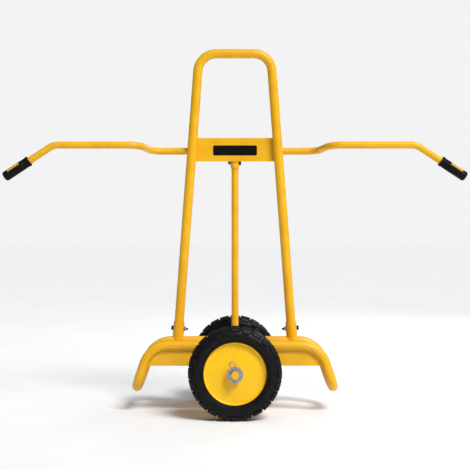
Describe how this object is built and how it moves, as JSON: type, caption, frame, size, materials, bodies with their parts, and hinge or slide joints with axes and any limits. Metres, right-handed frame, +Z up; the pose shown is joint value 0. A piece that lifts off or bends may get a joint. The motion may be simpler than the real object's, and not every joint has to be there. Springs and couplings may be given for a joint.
{
  "type": "two-wheeled sheet cart",
  "caption": "Tubular steel hand cart for carrying sheets on edge: a base cradle and tall hoop over in-line knobbed wheels, with long cranked side handles.",
  "frame": {"origin": "on the floor, midway between the two wheels", "axes": "+X to the right along the rails and handles, +Y to the rear along the axle, +Z up"},
  "size_m": [1.8592, 0.61, 1.455],
  "materials": {
    "yellow_powder_coat": "satin powder coat",
    "wheel_yellow": "satin powder coat",
    "tyre_rubber": "moulded, knobbed",
    "core_foam": "closed-cell foam",
    "grip_rubber": "moulded, matt",
    "grip_label": "satin film",
    "plate_label": "satin film",
    "zinc_plated_steel": "bright zinc plate",
    "black_bolt_steel": "dark oxide",
    "nylon": "turned"
  },
  "bodies": {
    "frame": {"rail_front": "yellow_powder_coat", "rail_rear": "yellow_powder_coat", "foot_loop_left": "yellow_powder_coat", "foot_loop_right": "yellow_powder_coat", "web_front": "yellow_powder_coat", "web_rear": "yellow_powder_coat", "deck_plate": "yellow_powder_coat", "axle_tube": "yellow_powder_coat", "axle_bar": "yellow_powder_coat", "spacer_front": "zinc_plated_steel", "spacer_rear": "zinc_plated_steel", "washer_front": "zinc_plated_steel", "washer_rear": "zinc_plated_steel", "hairpin_front": "zinc_plated_steel", "hairpin_rear": "zinc_plated_steel", "leg_socket_left": "yellow_powder_coat", "leg_socket_right": "yellow_powder_coat", "hoop": "yellow_powder_coat", "hoop_bolts": "black_bolt_steel", "hoop_nuts": "zinc_plated_steel", "cross_plate": "yellow_powder_coat", "plate_label": "plate_label", "handle_sleeve": "yellow_powder_coat", "post_sleeve_top": "yellow_powder_coat", "post_sleeve_foot": "yellow_powder_coat", "post": "yellow_powder_coat", "post_bolts": "black_bolt_steel", "post_nuts": "zinc_plated_steel", "handle_left": "yellow_powder_coat", "handle_right": "yellow_powder_coat", "handle_bolts": "black_bolt_steel", "handle_nuts": "zinc_plated_steel", "grip_left": "grip_rubber", "grip_right": "grip_rubber", "grip_label_left": "grip_label", "grip_label_right": "grip_label"},
    "wheel_front": {"tyre_front": "tyre_rubber", "tyre_core_front": "core_foam", "rim_front": "wheel_yellow", "hub_front": "wheel_yellow", "hub_bushes_front": "nylon"},
    "wheel_rear": {"tyre_rear": "tyre_rubber", "tyre_core_rear": "core_foam", "rim_rear": "wheel_yellow", "hub_rear": "wheel_yellow", "hub_bushes_rear": "nylon"}
  },
  "joints": [
    {"name": "wheel_front_spin", "type": "hinge", "parent": "frame", "child": "wheel_front", "pos_m": [0, -0.235, 0.1778], "axis": [0, 1, 0], "continuous": true},
    {"name": "wheel_rear_spin", "type": "hinge", "parent": "frame", "child": "wheel_rear", "pos_m": [0, 0.235, 0.1778], "axis": [0, 1, 0], "continuous": true}
  ]
}
